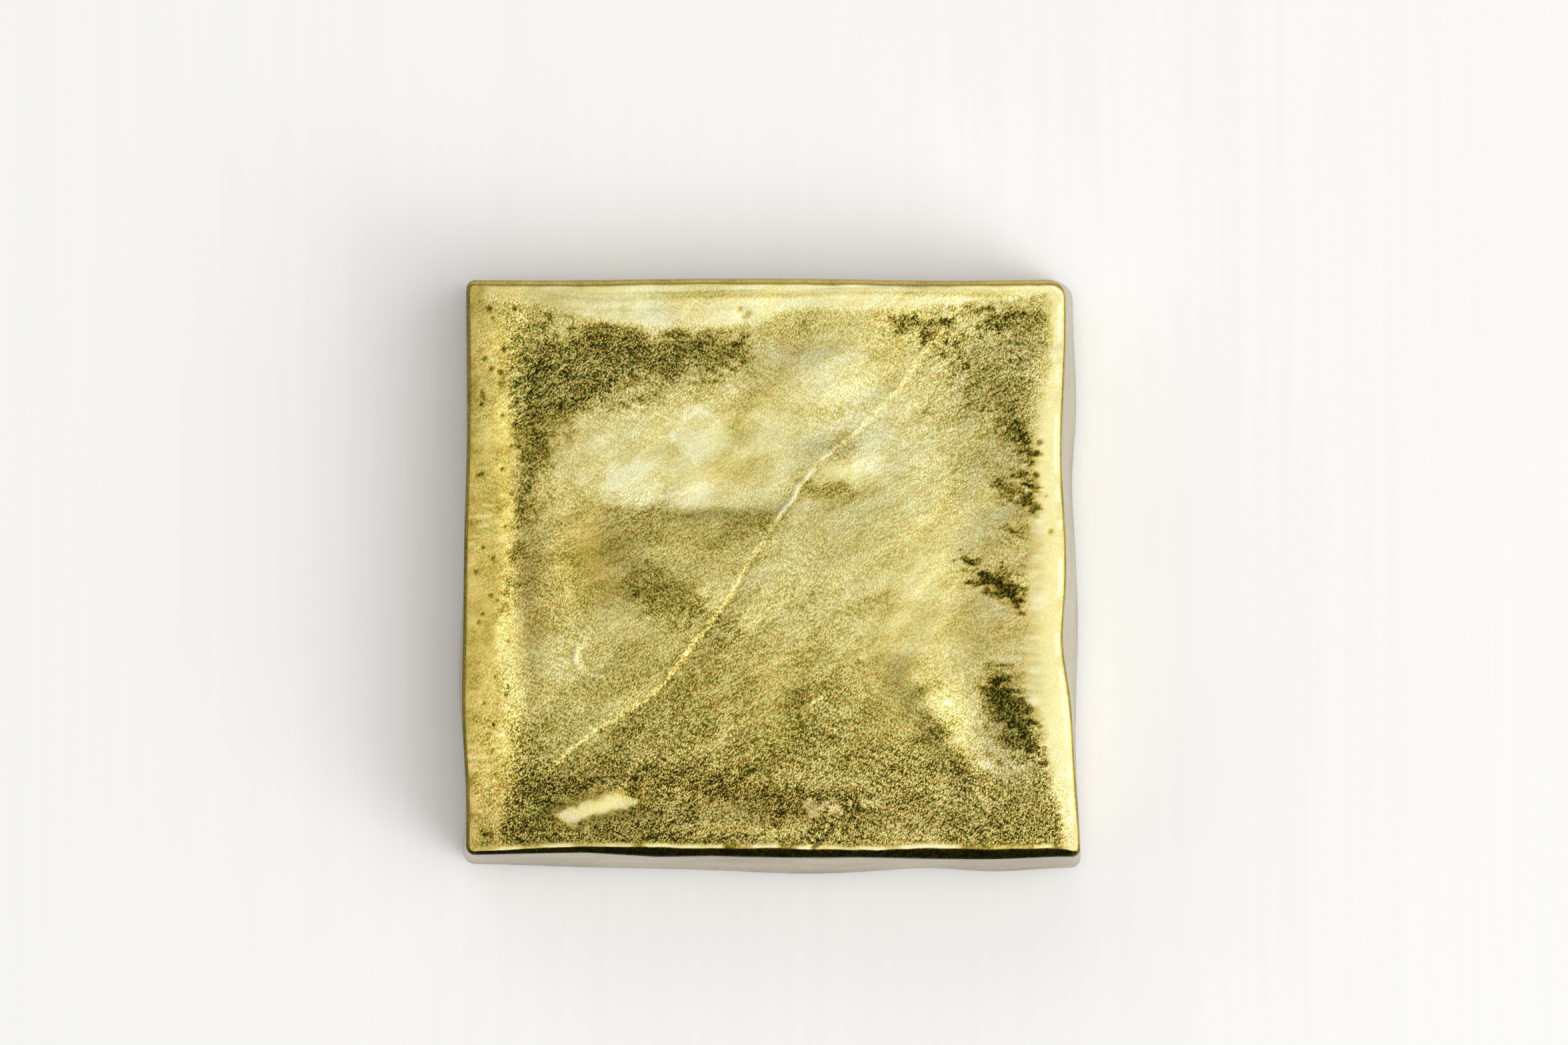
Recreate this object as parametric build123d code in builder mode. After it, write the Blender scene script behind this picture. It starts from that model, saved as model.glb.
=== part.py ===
"""Cast brass paperweight: a solid, nearly square slab with leaning, uneven walls and a sunken face.

The underside is ground flat and has a shallow pocket. A felt pad sits in the pocket on an adhesive film
and stands a little proud of the brass, so that the paperweight rests on felt. Millimetres, +Z up. The
origin is on the surface the pad rests on, under the middle of the slab. X runs along the longer side,
and the front is the side towards -Y.
"""

from build123d import *
import os

# Driving dimensions
base_width = 70.0  # ground base, along X
base_depth = 67.4  # ground base, along Y
brass_height = 13.0  # ground base to the top edge
wall_lean = 2.1  # how far the top edge lies inside the base
top_edge_radius = 0.6
base_edge_radius = 0.5
dish_sink = 0.6  # how far the face sinks in the middle, where the metal shrank
dish_reach = 30.0  # from the middle of the face to the rim of the sunken part

felt_thickness = 2.0
felt_proud = 1.2  # felt below the ground base
film_thickness = 0.15
base_rim = 6.0  # ground brass left round the pocket
pocket_corner_radius = 4.3
felt_clearance = 0.3  # pocket wall to felt, all round

# Levels and sizes that follow
base_level = felt_proud
pocket_roof = felt_thickness + film_thickness
pocket_depth = pocket_roof - base_level
top_level = base_level + brass_height
top_width = base_width - 2 * wall_lean
top_depth = base_depth - 2 * wall_lean
pocket_width = base_width - 2 * base_rim
pocket_length = base_depth - 2 * base_rim
pad_width = pocket_width - 2 * felt_clearance
pad_length = pocket_length - 2 * felt_clearance
pad_corner_radius = pocket_corner_radius - felt_clearance
dish_radius = (dish_reach**2 + dish_sink**2) / (2 * dish_sink)

# The casting isn't quite square: each corner's radius and how far it lies inside the full width and depth,
# going round from front left, and how far each side then wanders inward (outward below zero) from the
# straight line between its corners, at a few shares of its length. Sides go round from the front.
base_corner_radii = [1.4, 1.1, 2.2, 1.1]
base_corner_insets = [(0.4, 1.0), (0.0, 0.6), (0.7, 0.55), (0.5, 0.45)]
base_wander = [
    [(0.14, -0.25), (0.40, -0.55), (0.62, -0.75), (0.78, -0.15), (0.87, -0.50)],
    [(0.17, 0.35), (0.38, -0.05), (0.55, 0.05), (0.70, 0.25), (0.79, -0.25), (0.90, -0.15)],
    [(0.12, 0.10), (0.35, -0.10), (0.55, 0.02), (0.72, -0.10)],
    [(0.22, 0.15), (0.50, 0.05), (0.75, -0.40), (0.91, 0.35)],
]
top_corner_radii = [1.0, 0.9, 1.9, 1.0]
top_corner_insets = [(0.0, 0.5), (-1.35, 0.4), (0.15, -0.35), (-0.2, -0.45)]
top_wander = [
    [(0.25, -0.30), (0.50, -0.60), (0.72, -0.45), (0.88, -0.30)],
    [(0.15, 0.35), (0.29, 0.80), (0.37, 1.40), (0.46, 0.95), (0.58, 0.75), (0.71, 0.95), (0.86, 0.40)],
    [(0.12, 0.10), (0.35, -0.05), (0.60, -0.15), (0.85, 0.05)],
    [(0.28, 0.05), (0.45, -0.25), (0.62, -0.35), (0.77, -0.45), (0.90, -0.05)],
]


def cast_outline(width, depth, radii, corner_insets, wander):
    """Adds a closed outline to the sketch in hand: four wandering sides and four round corners."""
    signs = [(-1, -1), (1, -1), (1, 1), (-1, 1)]
    corners = []
    for (sign_x, sign_y), (inset_x, inset_y) in zip(signs, corner_insets):
        corners.append(Vector(sign_x * (width / 2 - inset_x), sign_y * (depth / 2 - inset_y)))
    directions = [(corners[side - 3] - corners[side]).normalized() for side in range(4)]
    with BuildLine() as outline:
        for side, offsets in enumerate(wander):
            along = directions[side]
            inward = along.rotate(Axis.Z, 90)
            start = corners[side] + along * radii[side]
            end = corners[side - 3] - along * radii[side - 3]
            between = [start + (end - start) * share + inward * offset for share, offset in offsets]
            Spline(start, *between, end, tangents=[along, along])
            turned = directions[side - 3]
            TangentArc(end, corners[side - 3] + turned * radii[side - 3], tangent=along)
    make_face(outline.edges())


# Solid brass casting
with BuildPart() as cast_block:
    with BuildSketch(Plane.XY.offset(base_level)):
        cast_outline(base_width, base_depth, base_corner_radii, base_corner_insets, base_wander)
    with BuildSketch(Plane.XY.offset(top_level)):
        cast_outline(top_width, top_depth, top_corner_radii, top_corner_insets, top_wander)
    loft(ruled=True)
    fillet(cast_block.faces().sort_by(Axis.Z)[-1].edges(), top_edge_radius)
    fillet(cast_block.faces().sort_by(Axis.Z)[0].edges(), base_edge_radius)
    with Locations((0, 0, top_level - dish_sink + dish_radius)):
        Sphere(dish_radius, mode=Mode.SUBTRACT)
    with BuildSketch(Plane.XY.offset(base_level)):
        RectangleRounded(pocket_width, pocket_length, pocket_corner_radius)
    extrude(amount=pocket_depth, mode=Mode.SUBTRACT)

# Felt pad
with BuildPart() as felt_pad:
    with BuildSketch():
        RectangleRounded(pad_width, pad_length, pad_corner_radius)
    extrude(amount=felt_thickness)

# Adhesive film between the felt and the pocket's roof
with BuildPart() as adhesive_film:
    with BuildSketch(Plane.XY.offset(felt_thickness)):
        RectangleRounded(pad_width, pad_length, pad_corner_radius)
    extrude(amount=film_thickness)

os.makedirs("parts", exist_ok=True)
for name, piece in (("cast_block", cast_block), ("felt_pad", felt_pad), ("adhesive_film", adhesive_film)):
    piece.part.label = name
    export_step(piece.part, f"parts/{name}.step")
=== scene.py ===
"""Looks of the cast brass paperweight: the brass skin, the felt, the adhesive film and the studio."""

import math

import bmesh
import bpy
import numpy as np
from mathutils import Matrix, Vector


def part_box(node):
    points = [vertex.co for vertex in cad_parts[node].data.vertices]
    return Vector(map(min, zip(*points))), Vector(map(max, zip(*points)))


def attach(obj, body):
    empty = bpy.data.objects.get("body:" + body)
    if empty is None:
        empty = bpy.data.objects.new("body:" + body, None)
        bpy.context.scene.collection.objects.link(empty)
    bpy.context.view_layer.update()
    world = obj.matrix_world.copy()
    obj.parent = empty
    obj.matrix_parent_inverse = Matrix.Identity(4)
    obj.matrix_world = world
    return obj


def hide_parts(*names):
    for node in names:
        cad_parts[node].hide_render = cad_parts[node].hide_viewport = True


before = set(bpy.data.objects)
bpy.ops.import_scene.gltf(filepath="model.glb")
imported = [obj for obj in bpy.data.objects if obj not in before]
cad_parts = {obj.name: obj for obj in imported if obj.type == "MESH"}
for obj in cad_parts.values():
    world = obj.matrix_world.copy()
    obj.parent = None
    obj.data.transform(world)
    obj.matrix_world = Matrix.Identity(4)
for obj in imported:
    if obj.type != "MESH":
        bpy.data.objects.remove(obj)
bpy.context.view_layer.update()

# Everything below works in millimetres and turns into metres when a mesh is made.
MM = 0.001
block_low, block_high = (np.array(corner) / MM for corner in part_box("cast_block"))
felt_low, felt_high = (np.array(corner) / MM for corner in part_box("felt_pad"))
FILM_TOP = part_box("adhesive_film")[1][2] / MM

TOP = block_high[2]
BASE = block_low[2]
EDGE_DROP = 0.95  # from the crest down to where the wall starts
EDGE_REACH = 0.45  # from the crest outward to where the wall starts
BEVEL_SLOPE = 0.50  # fall of the front bevel over its width
SQUARENESS = 2 / 2.6  # of the top edge's round: 1 gives a quarter circle, and less a tighter turn
BASE_ROUND = 0.5
FACE_STEP = 0.25  # spacing of the face's grid
WALL_STEP = 0.6
FELT_STEP = 0.8
POCKET_GAP = 0.3  # between the felt and the pocket's wall
POCKET_CORNER = 4.3
FELT_CORNER = 4.0
FELT_TRIM = 0.12  # the cut edge's foot lies this far inside the CAD pad, so that the edge can bulge


# ---- noise and shape helpers


def lattice_noise(x, y, cell, seed, stretch=1.0, turn=0.0):
    """Smooth noise from -1 to 1, features about `cell` wide, drawn out by `stretch` along `turn`."""
    table = np.random.default_rng(seed).uniform(-1, 1, (128, 128))
    c, s = math.cos(math.radians(turn)), math.sin(math.radians(turn))
    u = (x * c + y * s) / (cell * stretch) + 500
    v = (-x * s + y * c) / cell + 500
    i, j = np.floor(u).astype(int), np.floor(v).astype(int)
    fu, fv = u - i, v - j
    fu = fu**3 * (fu * (fu * 6 - 15) + 10)
    fv = fv**3 * (fv * (fv * 6 - 15) + 10)
    i0, i1, j0, j1 = i % 128, (i + 1) % 128, j % 128, (j + 1) % 128
    low = table[i0, j0] * (1 - fu) + table[i1, j0] * fu
    high = table[i0, j1] * (1 - fu) + table[i1, j1] * fu
    return low * (1 - fv) + high * fv


def layered_noise(x, y, cell, seed, octaves=3, stretch=1.0, turn=0.0):
    total = 0.0
    for k in range(octaves):
        total = total + lattice_noise(x, y, cell / 2**k, seed + k, stretch, turn) / 2**k
    return total / (2 - 0.5 ** (octaves - 1))


def smooth(a, b, value):
    """0 below a, 1 above b, and an even S between; a may be above b."""
    t = np.clip((value - a) / (b - a), 0, 1)
    return t * t * (3 - 2 * t)


def bell(value, width):
    """1 at zero, falling off to both sides."""
    return np.exp(-((value / width) ** 2))


def hump(x, y, centre, radii, turn=0.0):
    """A bell-shaped rise of height 1."""
    c, s = math.cos(math.radians(turn)), math.sin(math.radians(turn))
    dx, dy = x - centre[0], y - centre[1]
    u, v = (dx * c + dy * s) / radii[0], (-dx * s + dy * c) / radii[1]
    return np.exp(-(u * u + v * v))


def swells(x, y, rows):
    """The sum of bell-shaped rises; each row is a centre, radii, a turn and a height."""
    return sum(height * hump(x, y, centre, radii, turn) for centre, radii, turn, height in rows)


def along_path(x, y, points):
    """(distance to the path, share of its length, side: positive to its left) for every place."""
    points = np.array(points, float)
    lengths = np.hypot(*(points[1:] - points[:-1]).T)
    starts = np.concatenate([[0], np.cumsum(lengths)])
    best = np.full(x.shape, 1e9)
    share = np.zeros(x.shape)
    side = np.zeros(x.shape)
    for k, (a, b) in enumerate(zip(points[:-1], points[1:])):
        d = b - a
        t = np.clip(((x - a[0]) * d[0] + (y - a[1]) * d[1]) / (d @ d), 0, 1)
        px, py = x - a[0] - t * d[0], y - a[1] - t * d[1]
        distance = np.hypot(px, py)
        near = distance < best
        best = np.where(near, distance, best)
        share = np.where(near, (starts[k] + t * lengths[k]) / starts[-1], share)
        side = np.where(near, np.sign(d[0] * py - d[1] * px), side)
    return best, share, side


def inside(x, y, outline, soft=0.6, ragged=0.0, seed=0, cell=1.6, stretch=1.0, turn=0.0):
    """1 inside a closed outline and 0 outside, over a soft edge that noise of `ragged` mm breaks up."""
    points = np.array(outline, float)
    distance = np.full(x.shape, 1e9)
    within = np.zeros(x.shape, bool)
    for a, b in zip(points, np.roll(points, -1, 0)):
        d = b - a
        t = np.clip(((x - a[0]) * d[0] + (y - a[1]) * d[1]) / (d @ d), 0, 1)
        distance = np.minimum(distance, np.hypot(x - a[0] - t * d[0], y - a[1] - t * d[1]))
        if d[1]:
            within ^= ((a[1] > y) != (b[1] > y)) & (x < a[0] + (y - a[1]) * d[0] / d[1])
    depth = np.where(within, distance, -distance)
    if ragged:
        depth = depth + 1.2 * ragged * layered_noise(x, y, cell, seed, 3, stretch, turn)
        depth = depth + 0.8 * ragged * lattice_noise(x, y, 0.45, seed + 1, 1.5, turn)
    return smooth(-soft, soft, depth)


# ---- outlines, read from the CAD block


def slice_outline(node, level):
    """The node's outline at a height, as a closed loop of points; only for heights above the pocket."""
    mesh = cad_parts[node].data
    co = np.array([v.co for v in mesh.vertices]) / MM
    cuts = []
    for edge in mesh.edges:
        a, b = co[edge.vertices[0]], co[edge.vertices[1]]
        if (a[2] - level) * (b[2] - level) < 0:
            cuts.append(a + (b - a) * (level - a[2]) / (b[2] - a[2]))
    cuts = np.array(cuts)[:, :2]
    loop = cuts[np.argsort(np.arctan2(cuts[:, 1], cuts[:, 0]))]
    keep = np.hypot(*(loop - np.roll(loop, 1, 0)).T) > 1e-3
    return loop[keep]


def sides_of(loop, counts):
    """The loop as four sides, front, right, back and left, each with its own count of even steps."""
    corners = [int(np.argmax(loop @ np.array(d))) for d in ((-1, -1), (1, -1), (1, 1), (-1, 1))]
    points = []
    for k, count in enumerate(counts):
        a, b = corners[k], corners[(k + 1) % 4]
        index = np.arange(a, b + 1 if b > a else b + 1 + len(loop)) % len(loop)
        run = loop[index]
        reach = np.concatenate([[0], np.cumsum(np.hypot(*(run[1:] - run[:-1]).T))])
        wanted = np.linspace(0, reach[-1], count + 1)[:-1]
        points.append(np.column_stack([np.interp(wanted, reach, run[:, axis]) for axis in (0, 1)]))
    return np.concatenate(points)


def rounded_ring(half, radius, counts):
    """A rounded rectangle about the origin, in four sides of even steps from the front-left corner."""
    loop = []
    for k, (sx, sy) in enumerate(((-1, -1), (1, -1), (1, 1), (-1, 1))):
        centre = np.array([sx * (half[0] - radius), sy * (half[1] - radius)])
        for angle in np.radians(np.linspace(180 + 90 * k, 270 + 90 * k, 25)):
            loop.append(centre + radius * np.array([math.cos(angle), math.sin(angle)]))
    return sides_of(np.array(loop), counts)


def blur_ring(values, reach):
    """Evens out a value that goes round a ring."""
    kernel = np.hanning(2 * reach + 3)[1:-1]
    kernel /= kernel.sum()
    padded = np.concatenate([values[-reach:], values, values[:reach]])
    return np.convolve(padded, kernel, "valid")


def outward(ring):
    """Unit normals of a ring, evened out so that a corner fans smoothly."""
    tangent = np.roll(ring, -2, 0) - np.roll(ring, 2, 0)
    normal = np.stack([blur_ring(tangent[:, 1], 3), -blur_ring(tangent[:, 0], 3)], 1)
    return normal / np.linalg.norm(normal, axis=1)[:, None]


# ---- relief of the sunken face

# The cold-shut line where two streams of metal met, from lower left to upper right, and its faint end
FOLD = [
    (-26.0, -24.4), (-23.2, -21.0), (-18.7, -17.5), (-13.7, -14.5), (-11.0, -12.2), (-8.4, -8.6),
    (-6.0, -5.4), (-4.3, -3.0), (-2.6, -0.3), (-0.6, 2.9), (0.9, 5.2), (2.5, 7.6), (3.4, 9.2), (5.0, 11.2),
]
FOLD_END = [
    (6.2, 12.4), (8.0, 13.9), (9.8, 15.2), (11.8, 17.3), (13.2, 18.6), (14.5, 20.0), (16.0, 22.2),
    (18.2, 24.8), (20.2, 27.8),
]

# Where the bright slope below the back rim starts, from left to right
BACK_SLOPE = [
    (-33.0, 29.9), (-26.6, 29.2), (-20.3, 27.9), (-14.5, 26.7), (-9.6, 26.4), (-4.8, 26.7), (-0.9, 27.2),
    (1.5, 28.2), (4.9, 28.7), (9.8, 28.3), (19.5, 28.8), (24.3, 29.3), (33.0, 30.6),
]

# Lower end of the long bright slope on the upper left
SLOPE_FOOT = [(-19.0, 7.4), (-14.5, 6.9), (-9.6, 6.7), (-1.9, 6.8), (2.5, 7.8)]

# Inner limits of the smooth left and right rims: (y, x) from front to back
LEFT_RIM = [
    (-28, -29.2), (-24, -28.4), (-18, -28.3), (-12, -29.5), (-6, -29.9), (0, -29.0), (5, -28.2),
    (12, -27.9), (20, -28.6), (27, -29.0), (30, -31.0),
]
RIGHT_RIM = [
    (-29, 32.4), (-27, 32.0), (-22, 31.0), (-17, 30.0), (-12, 28.4), (-5, 29.2), (0, 28.7), (8, 29.5),
    (16, 29.6), (22, 31.0), (27, 31.3),
]

# The front edge's bevel, which mirrors the room's dark gap and is painted dark as well: (x, how far the
# shoulder lies inside the CAD block's), (x, width)
FRONT_INSET = [
    (-33, 0.0), (-27, 0.20), (-20, 0.50), (-12, 0.25), (-6, 0.50), (2, 0.42), (10, 0.38), (18, 0.12),
    (26, 0.0), (33, 0.0),
]
FRONT_BEVEL = [
    (-33, 0.45), (-25, 0.60), (-20, 0.75), (-12, 1.15), (-6, 0.95), (1, 1.10), (8, 0.90), (12, 0.95),
    (18, 1.35), (26, 1.20), (33, 0.90),
]

# Rises and hollows of the face: centre, radii, turn, height
FACE_SWELLS = (
    ((-28.0, 8.0), (1.2, 16.0), 3, -0.10),  # groove along the left rim
    ((-24.6, 0.5), (3.4, 9.0), 4, 0.24),  # long low swell beside it
    ((8.0, 23.6), (9.0, 4.4), 32, 0.26),  # upper end of the long bright slope
    ((-8.5, 7.4), (12.5, 3.2), 2, -0.26),  # trough that the slope ends in
    ((-18.6, 1.0), (3.4, 5.4), 12, -0.18),  # smooth tan hollow
    ((-9.5, -1.2), (5.5, 1.7), -24, 0.18),
    ((15.0, 3.0), (8.5, 11.0), 15, 0.26),  # broad swell of the right half
    ((3.0, -18.0), (15.0, 8.0), -8, -0.22),
    ((7.6, 12.2), (3.4, 1.8), -6, 0.20),  # small swell by the fold
    ((26.5, 26.0), (4.6, 1.8), -14, -0.14),  # hollows by the back right corner
    ((17.2, 27.6), (3.4, 1.1), 4, -0.18),
    ((-20.5, -23.6), (6.0, 1.3), 8, 0.14),  # low swell behind the bright lozenge
    ((14.0, -28.4), (12.0, 1.4), -3, 0.12),  # swell behind the front edge
)
RIGHT_HOLLOWS = (
    ((25.2, 13.4), (2.4, 2.6), -8, -0.08),
    ((25.6, 7.4), (2.4, 1.5), 0, -0.08),
    ((22.6, -2.6), (3.2, 2.0), -30, -0.10),
    ((23.4, -16.8), (2.9, 4.6), 10, -0.20),
)
RIDGE = [(15.6, -11.6), (18.2, -15.6), (20.6, -19.6), (22.8, -23.4)]

# Small marks: a slanted groove from the front edge, a short nick, and an oval print's centre and radii
GROOVE = [(4.9, -30.3), (5.9, -29.3), (7.1, -28.1)]
NICK = [(4.7, -14.8), (5.2, -14.2), (6.0, -13.9)]
PRINT_CENTRE = (-18.7, -9.5)
PRINT_RADII = (2.3, 2.0)

# How far out the left and right crests lie, for distances in from them
CREST_X = 33.0

# Blowholes: x, y, radius
PITS = ((-2.1, 28.3, 0.34), (-3.0, 28.8, 0.24), (-2.6, 27.9, 0.24), (17.4, 17.6, 0.28), (31.1, 4.3, 0.26),
        (-13.8, -14.2, 0.24), (-14.4, -2.6, 0.24), (25.3, -20.9, 0.26), (-30.4, 22.3, 0.26),
        (-28.2, 22.4, 0.30), (-27.6, 20.7, 0.34), (-30.9, -28.9, 0.30))


def scattered_pits():
    """Small blowholes strewn over the back left corner, the left rim and the back right corner."""
    rng = np.random.default_rng(17)
    corner = rng.uniform((-31.5, 16.0, 0.16), (-21.0, 29.0, 0.32), (34, 3))
    rim = rng.uniform((-32.0, -29.0, 0.14), (-27.5, 16.0, 0.26), (22, 3))
    other = rng.uniform((16.0, 22.5, 0.16), (30.0, 28.5, 0.30), (26, 3))
    return np.vstack([corner, rim, other])


def curve_at(place, points):
    """Where a drawn line runs at every place along it."""
    along, across = np.array(points).T
    return np.interp(place, along, across)


def face_relief(x, y, rim, sunken):
    """Height of the cast skin over the crest level. `rim` is the distance in from the crest, and
    `sunken` grows from 0 there to 1 over the middle."""
    wander = layered_noise(x, y, 7, 3, 2)
    z = -0.62 * sunken

    # Back rim: a slope down towards the middle, from a wavy line on
    rise = y - curve_at(x, BACK_SLOPE) + 0.5 * wander
    z += 0.34 * smooth(-0.2, 4.0, rise)

    # Left rim: a smooth flat, a little raised
    z += 0.08 * smooth(6.5, 3.0, CREST_X + x + 0.5 * wander)

    # The ridge under the dark wedge, and the step at the foot of the bright slope
    z += 0.34 * hump(x, y + 0.8 * wander, (-13.5, 19.6), (14.0, 4.0), 7)
    foot = curve_at(x, SLOPE_FOOT) - y + 0.25 * wander
    step = smooth(-0.4, 1.2, foot) * smooth(6.0, 1.0, foot)
    z += 0.06 * step * smooth(-19.5, -16.0, x) * smooth(5.0, 2.0, x)

    # The lower right ridge, the hollows inside the right rim and the swell behind the front edge
    z += 0.24 * bell(along_path(x, y, RIDGE)[0], 1.9)
    z += swells(x, y + 0.3 * wander, RIGHT_HOLLOWS)
    z += 0.20 * hump(x, y + 0.4 * wander, (-5.0, -27.6), (11.0, 1.3), 2)
    z += swells(x, y, FACE_SWELLS)

    return z + fold_relief(x, y) + small_relief(x, y) + skin_relief(x, y, rim)


def along_fold(x, y):
    """Distance, share and side along the fold, whose line sways a little."""
    sway = 0.13 * lattice_noise(x, y, 1.6, 23)
    return along_path(x + sway, y - sway, FOLD)


def fold_relief(x, y):
    """The fold: a fine broken lip, broader and lower towards the front left, lower ground to its right."""
    distance, share, side = along_fold(x, y)
    broken = smooth(-0.30, 0.50, lattice_noise(x, y, 1.3, 21))
    lower_part = smooth(0.62, 0.25, share)
    width = 0.18 + 0.42 * lower_part
    lip = bell(distance, width) * broken
    z = lip * (0.010 + 0.008 * lower_part + 0.045 * smooth(0.82, 0.90, share)) * smooth(0.0, 0.06, share)
    second = bell(distance - 0.9, 0.30) * (side > 0)
    z += 0.012 * second * lower_part * broken
    z -= 0.08 * smooth(2.6, 0.0, distance) * (side < 0) * smooth(0.0, 0.1, share) * smooth(1.0, 0.5, share)
    distance, share, side = along_path(x, y, FOLD_END)
    broken = smooth(-0.1, 0.4, lattice_noise(x, y, 1.7, 22))
    z += 0.020 * bell(distance, 0.16) * broken
    z += 0.03 * smooth(2.0, 0.0, distance) * (side > 0)
    return z


def crescent(x, y):
    """(share of the oval print's radius, how much of its low curl is there) for every place."""
    dx, dy = x - PRINT_CENTRE[0], y - PRINT_CENTRE[1]
    ring = np.hypot(dx / PRINT_RADII[0], dy / PRINT_RADII[1])
    return ring, smooth(-0.3, 0.6, -np.cos(np.arctan2(dy, dx) - math.radians(40)))


def small_relief(x, y):
    """Marks of one or two millimetres: mould lines, the lozenge, the crescent, nicks and blowholes."""
    # Fine contour lines along the back rim, where the mould's edge showed
    z = 0.0
    for offset, height in ((0.25, -0.030), (0.75, 0.035), (1.45, -0.025), (2.0, 0.030)):
        line = (31.2 - y) - offset + 0.45 * layered_noise(x, y * 0.1, 9, 31, 2)
        z = z + height * bell(line, 0.2) * smooth(-27, -20, x) * smooth(30, 24, x)

    # The lozenge: a short steep slope with a sharp lower edge
    level = (y + 26.0) - 0.26 * (x + 19.0)
    slope = smooth(-1.2, 1.0, level) * smooth(4.2, 1.0, level)
    z = z + 0.26 * slope * hump(x, y, (-19.0, -25.8), (5.0, 3.6), 12)
    for centre, radii in (((6.4, -26.0), (2.0, 0.5)), ((11.6, -25.6), (0.9, 0.4))):
        z = z + 0.07 * hump(x, y - 0.3, centre, radii, 6)

    # The groove with a lip on its right, and the nick
    distance, _, side = along_path(x, y, GROOVE)
    z = z - 0.09 * bell(distance, 0.30)
    z = z + 0.05 * bell(distance - 0.5, 0.25) * (side < 0)
    z = z + 0.06 * bell(along_path(x, y, NICK)[0], 0.20)

    ring, curl = crescent(x, y)
    z = z + 0.034 * bell(ring - 1, 0.13) * curl - 0.03 * smooth(1.05, 0.75, ring)

    for cx, cy, radius in np.vstack([PITS, scattered_pits()]):
        z = z - 0.05 * bell(np.hypot(x - cx, y - cy), radius)
    return z


def skin_relief(x, y, rim):
    """Lumps of half a millimetre or more; anything finer is in the material."""
    calm = smooth(0.6, 4.5, rim)
    z = 0.052 * layered_noise(x, y, 5.0, 61, 3, 1.4, 25) * (0.35 + 0.65 * calm)
    z += 0.016 * layered_noise(x, y, 1.5, 71, 2, 1.8, 25) * calm
    z += 0.014 * layered_noise(x, y, 1.2, 75, 3) * smooth(5.0, 3.5, CREST_X + x) * smooth(0.2, 1.0, rim)
    coarse = hump(x, y, (27.0, -27.0), (8.0, 5.0)) + hump(x, y, (26.0, 24.5), (8.0, 6.0))
    coarse = coarse + hump(x, y, (-20.0, 22.5), (12.0, 5.0))
    z += 0.020 * layered_noise(x, y, 0.8, 81, 1) * np.clip(coarse, 0, 1)
    comb = layered_noise(x, y, 0.5, 51, 2, stretch=5.0)
    z += 0.012 * comb * smooth(6.0, 3.5, CREST_X + x)
    inward = CREST_X + 0.5 - x
    z += 0.020 * comb * smooth(9.0, 7.0, inward) * smooth(2.6, 4.2, inward)
    return z
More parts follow.
